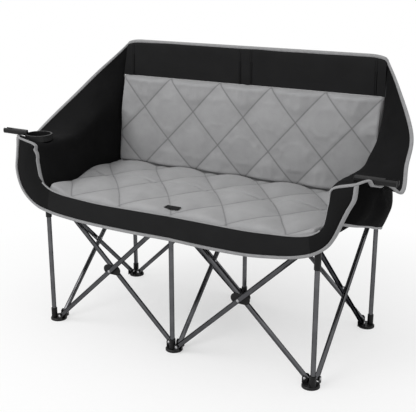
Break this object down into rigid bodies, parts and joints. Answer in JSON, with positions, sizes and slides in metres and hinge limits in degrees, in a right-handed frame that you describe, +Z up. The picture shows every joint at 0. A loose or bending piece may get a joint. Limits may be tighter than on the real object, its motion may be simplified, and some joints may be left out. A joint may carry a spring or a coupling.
{
  "type": "folding camping loveseat",
  "caption": "Folding two-person camping seat with scissor-braced tube legs, a quilted seat and back, winged arms and drink holders.",
  "frame": {"origin": "centre of the bounding box at floor level", "axes": "+X across the width towards the right as seen from the front, +Y from the front to the back, +Z up"},
  "size_m": [1.33, 0.514, 0.8837],
  "materials": {
    "tube_steel": "gunmetal gloss paint",
    "black_plastic": "satin moulded",
    "rivet_steel": "plated",
    "grey_quilt": "quilted woven polyester",
    "black_cloth": "woven polyester"
  },
  "bodies": {
    "leg_front_centre": {"foot_front_centre": "black_plastic", "post_front_centre": "tube_steel"},
    "brace_front_centre_to_front_left": {"brace_front_centre_to_front_left": "tube_steel", "rivet_front_left_front_centre": "rivet_steel", "hub_front_left_front_centre": "black_plastic"},
    "brace_front_centre_to_front_right": {"brace_front_centre_to_front_right": "tube_steel", "rivet_front_centre_front_right": "rivet_steel", "hub_front_centre_front_right": "black_plastic"},
    "brace_front_centre_to_rear_centre": {"brace_front_centre_to_rear_centre": "tube_steel", "rivet_front_centre_rear_centre": "rivet_steel"},
    "brace_front_left_to_front_centre": {"brace_front_left_to_front_centre": "tube_steel"},
    "brace_front_right_to_front_centre": {"brace_front_right_to_front_centre": "tube_steel"},
    "brace_rear_centre_to_front_centre": {"brace_rear_centre_to_front_centre": "tube_steel"},
    "leg_front_left": {"foot_front_left": "black_plastic", "post_front_left": "tube_steel"},
    "leg_front_right": {"foot_front_right": "black_plastic", "post_front_right": "tube_steel"},
    "leg_rear_centre": {"foot_rear_centre": "black_plastic", "post_rear_centre": "tube_steel", "back_quilt": "grey_quilt", "back_top_band": "black_cloth"},
    "bracket_front_left": {"bracket_front_left": "black_plastic", "arm_tube_left": "tube_steel", "wing_left": "black_cloth", "side_panel_left": "black_cloth", "arm_front_left": "black_cloth", "drink_holder_left": "black_plastic"},
    "bracket_front_right": {"bracket_front_right": "black_plastic", "arm_tube_right": "tube_steel", "wing_right": "black_cloth", "side_panel_right": "black_cloth", "arm_front_right": "black_cloth", "drink_holder_right": "black_plastic"},
    "bracket_rear_centre": {"bracket_rear_centre": "black_plastic"},
    "bracket_front_centre": {"bracket_front_centre": "black_plastic", "inner_tube_front_centre": "tube_steel", "front_valance": "black_cloth"},
    "brace_rear_centre_to_rear_left": {"brace_rear_centre_to_rear_left": "tube_steel", "rivet_rear_left_rear_centre": "rivet_steel"},
    "brace_rear_centre_to_rear_right": {"brace_rear_centre_to_rear_right": "tube_steel", "rivet_rear_centre_rear_right": "rivet_steel"},
    "brace_rear_left_to_rear_centre": {"brace_rear_left_to_rear_centre": "tube_steel"},
    "brace_rear_right_to_rear_centre": {"brace_rear_right_to_rear_centre": "tube_steel"},
    "leg_rear_left": {"foot_rear_left": "black_plastic", "post_rear_left": "tube_steel"},
    "leg_rear_right": {"foot_rear_right": "black_plastic", "post_rear_right": "tube_steel"},
    "bracket_rear_left": {"bracket_rear_left": "black_plastic"},
    "bracket_rear_right": {"bracket_rear_right": "black_plastic"},
    "brace_front_left_to_rear_left": {"brace_front_left_to_rear_left": "tube_steel", "rivet_front_left_rear_left": "rivet_steel"},
    "brace_rear_left_to_front_left": {"brace_rear_left_to_front_left": "tube_steel"},
    "brace_front_right_to_rear_right": {"brace_front_right_to_rear_right": "tube_steel", "rivet_front_right_rear_right": "rivet_steel"},
    "brace_rear_right_to_front_right": {"brace_rear_right_to_front_right": "tube_steel"},
    "seat_front_half": {"seat_front_half": "grey_quilt"},
    "seat_rear_half": {"seat_rear_half": "grey_quilt"}
  },
  "joints": [
    {"name": "fold", "type": "hinge", "parent": "leg_front_centre", "child": "brace_front_centre_to_front_left", "pos_m": [-0.02, -0.2201, 0.02], "axis": [0, 1, 0], "range_deg": [0, 44.4], "deforming": ["seat_front_half", "seat_rear_half", "back_quilt", "back_top_band", "front_valance", "wing_left", "side_panel_left", "arm_front_left", "wing_right", "side_panel_right", "arm_front_right"]},
    {"name": "brace_front_centre_to_front_right_foot", "type": "hinge", "parent": "leg_front_centre", "child": "brace_front_centre_to_front_right", "pos_m": [0.02, -0.2399, 0.02], "axis": [0, -1, 0], "range_deg": [0, 44.4]},
    {"name": "brace_front_centre_to_rear_centre_foot", "type": "hinge", "parent": "leg_front_centre", "child": "brace_front_centre_to_rear_centre", "pos_m": [0.0099, -0.21, 0.02], "axis": [1, 0, 0], "range_deg": [0, 44.4]},
    {"name": "brace_front_left_to_front_centre_crossing", "type": "hinge", "parent": "brace_front_centre_to_front_left", "child": "brace_front_left_to_front_centre", "pos_m": [-0.23, -0.23, 0.22], "axis": [0, -1, 0], "range_deg": [0, 88.8]},
    {"name": "brace_front_right_to_front_centre_crossing", "type": "hinge", "parent": "brace_front_centre_to_front_right", "child": "brace_front_right_to_front_centre", "pos_m": [0.23, -0.23, 0.22], "axis": [0, 1, 0], "range_deg": [0, 88.8]},
    {"name": "brace_rear_centre_to_front_centre_crossing", "type": "hinge", "parent": "brace_front_centre_to_rear_centre", "child": "brace_rear_centre_to_front_centre", "pos_m": [0, 0, 0.22], "axis": [-1, 0, 0], "range_deg": [0, 88.8]},
    {"name": "leg_front_left_foot", "type": "hinge", "parent": "brace_front_left_to_front_centre", "child": "leg_front_left", "pos_m": [-0.44, -0.2399, 0.02], "axis": [0, 1, 0], "range_deg": [0, 44.4]},
    {"name": "leg_front_right_foot", "type": "hinge", "parent": "brace_front_right_to_front_centre", "child": "leg_front_right", "pos_m": [0.44, -0.2201, 0.02], "axis": [0, -1, 0], "range_deg": [0, 44.4]},
    {"name": "leg_rear_centre_foot", "type": "hinge", "parent": "brace_rear_centre_to_front_centre", "child": "leg_rear_centre", "pos_m": [-0.0099, 0.21, 0.02], "axis": [1, 0, 0], "range_deg": [0, 44.4]},
    {"name": "bracket_front_left_pin", "type": "hinge", "parent": "brace_front_centre_to_front_left", "child": "bracket_front_left", "pos_m": [-0.44, -0.2201, 0.42], "axis": [0, -1, 0], "range_deg": [0, 44.4]},
    {"name": "bracket_front_right_pin", "type": "hinge", "parent": "brace_front_centre_to_front_right", "child": "bracket_front_right", "pos_m": [0.44, -0.2399, 0.42], "axis": [0, 1, 0], "range_deg": [0, 44.4]},
    {"name": "bracket_rear_centre_pin", "type": "hinge", "parent": "brace_front_centre_to_rear_centre", "child": "bracket_rear_centre", "pos_m": [0.0099, 0.21, 0.42], "axis": [-1, 0, 0], "range_deg": [0, 44.4]},
    {"name": "bracket_front_centre_pin", "type": "hinge", "parent": "brace_front_left_to_front_centre", "child": "bracket_front_centre", "pos_m": [-0.02, -0.2399, 0.42], "axis": [0, 1, 0], "range_deg": [0, 44.4]},
    {"name": "brace_rear_centre_to_rear_left_foot", "type": "hinge", "parent": "leg_rear_centre", "child": "brace_rear_centre_to_rear_left", "pos_m": [-0.02, 0.2399, 0.02], "axis": [0, 1, 0], "range_deg": [0, 44.4]},
    {"name": "brace_rear_centre_to_rear_right_foot", "type": "hinge", "parent": "leg_rear_centre", "child": "brace_rear_centre_to_rear_right", "pos_m": [0.02, 0.2201, 0.02], "axis": [0, -1, 0], "range_deg": [0, 44.4]},
    {"name": "brace_rear_left_to_rear_centre_crossing", "type": "hinge", "parent": "brace_rear_centre_to_rear_left", "child": "brace_rear_left_to_rear_centre", "pos_m": [-0.23, 0.23, 0.22], "axis": [0, -1, 0], "range_deg": [0, 88.8]},
    {"name": "brace_rear_right_to_rear_centre_crossing", "type": "hinge", "parent": "brace_rear_centre_to_rear_right", "child": "brace_rear_right_to_rear_centre", "pos_m": [0.23, 0.23, 0.22], "axis": [0, 1, 0], "range_deg": [0, 88.8]},
    {"name": "leg_rear_left_foot", "type": "hinge", "parent": "brace_rear_left_to_rear_centre", "child": "leg_rear_left", "pos_m": [-0.44, 0.2201, 0.02], "axis": [0, 1, 0], "range_deg": [0, 44.4]},
    {"name": "leg_rear_right_foot", "type": "hinge", "parent": "brace_rear_right_to_rear_centre", "child": "leg_rear_right", "pos_m": [0.44, 0.2399, 0.02], "axis": [0, -1, 0], "range_deg": [0, 44.4]},
    {"name": "bracket_rear_left_pin", "type": "hinge", "parent": "brace_rear_centre_to_rear_left", "child": "bracket_rear_left", "pos_m": [-0.44, 0.2399, 0.42], "axis": [0, -1, 0], "range_deg": [0, 44.4]},
    {"name": "bracket_rear_right_pin", "type": "hinge", "parent": "brace_rear_centre_to_rear_right", "child": "bracket_rear_right", "pos_m": [0.44, 0.2201, 0.42], "axis": [0, 1, 0], "range_deg": [0, 44.4]},
    {"name": "brace_front_left_to_rear_left_foot", "type": "hinge", "parent": "leg_front_left", "child": "brace_front_left_to_rear_left", "pos_m": [-0.4501, -0.21, 0.02], "axis": [1, 0, 0], "range_deg": [0, 44.4]},
    {"name": "brace_rear_left_to_front_left_crossing", "type": "hinge", "parent": "brace_front_left_to_rear_left", "child": "brace_rear_left_to_front_left", "pos_m": [-0.46, 0, 0.22], "axis": [-1, 0, 0], "range_deg": [0, 88.8]},
    {"name": "brace_front_right_to_rear_right_foot", "type": "hinge", "parent": "leg_front_right", "child": "brace_front_right_to_rear_right", "pos_m": [0.4699, -0.21, 0.02], "axis": [1, 0, 0], "range_deg": [0, 44.4]},
    {"name": "brace_rear_right_to_front_right_crossing", "type": "hinge", "parent": "brace_front_right_to_rear_right", "child": "brace_rear_right_to_front_right", "pos_m": [0.46, 0, 0.22], "axis": [-1, 0, 0], "range_deg": [0, 88.8]},
    {"name": "seat_front_fold", "type": "hinge", "parent": "bracket_front_centre", "child": "seat_front_half", "pos_m": [0, -0.24, 0.4347], "axis": [-1, 0, 0], "range_deg": [0, 88.8]},
    {"name": "seat_rear_fold", "type": "hinge", "parent": "bracket_rear_centre", "child": "seat_rear_half", "pos_m": [0, 0.226, 0.4347], "axis": [1, 0, 0], "range_deg": [0, 88.8]}
  ],
  "couplings": [
    {"joint": "brace_front_centre_to_front_right_foot", "follows": "fold", "ratio": 1},
    {"joint": "brace_front_centre_to_rear_centre_foot", "follows": "fold", "ratio": 1},
    {"joint": "brace_front_left_to_front_centre_crossing", "follows": "fold", "ratio": 2},
    {"joint": "brace_front_right_to_front_centre_crossing", "follows": "fold", "ratio": 2},
    {"joint": "brace_rear_centre_to_front_centre_crossing", "follows": "fold", "ratio": 2},
    {"joint": "leg_front_left_foot", "follows": "fold", "ratio": 1},
    {"joint": "leg_front_right_foot", "follows": "fold", "ratio": 1},
    {"joint": "leg_rear_centre_foot", "follows": "fold", "ratio": 1},
    {"joint": "bracket_front_left_pin", "follows": "fold", "ratio": 1},
    {"joint": "bracket_front_right_pin", "follows": "fold", "ratio": 1},
    {"joint": "bracket_rear_centre_pin", "follows": "fold", "ratio": 1},
    {"joint": "bracket_front_centre_pin", "follows": "fold", "ratio": 1},
    {"joint": "brace_rear_centre_to_rear_left_foot", "follows": "fold", "ratio": 1},
    {"joint": "brace_rear_centre_to_rear_right_foot", "follows": "fold", "ratio": 1},
    {"joint": "brace_rear_left_to_rear_centre_crossing", "follows": "fold", "ratio": 2},
    {"joint": "brace_rear_right_to_rear_centre_crossing", "follows": "fold", "ratio": 2},
    {"joint": "leg_rear_left_foot", "follows": "fold", "ratio": 1},
    {"joint": "leg_rear_right_foot", "follows": "fold", "ratio": 1},
    {"joint": "bracket_rear_left_pin", "follows": "fold", "ratio": 1},
    {"joint": "bracket_rear_right_pin", "follows": "fold", "ratio": 1},
    {"joint": "brace_front_left_to_rear_left_foot", "follows": "fold", "ratio": 1},
    {"joint": "brace_rear_left_to_front_left_crossing", "follows": "fold", "ratio": 2},
    {"joint": "brace_front_right_to_rear_right_foot", "follows": "fold", "ratio": 1},
    {"joint": "brace_rear_right_to_front_right_crossing", "follows": "fold", "ratio": 2},
    {"joint": "seat_front_fold", "follows": "fold", "ratio": 2},
    {"joint": "seat_rear_fold", "follows": "fold", "ratio": 2}
  ]
}
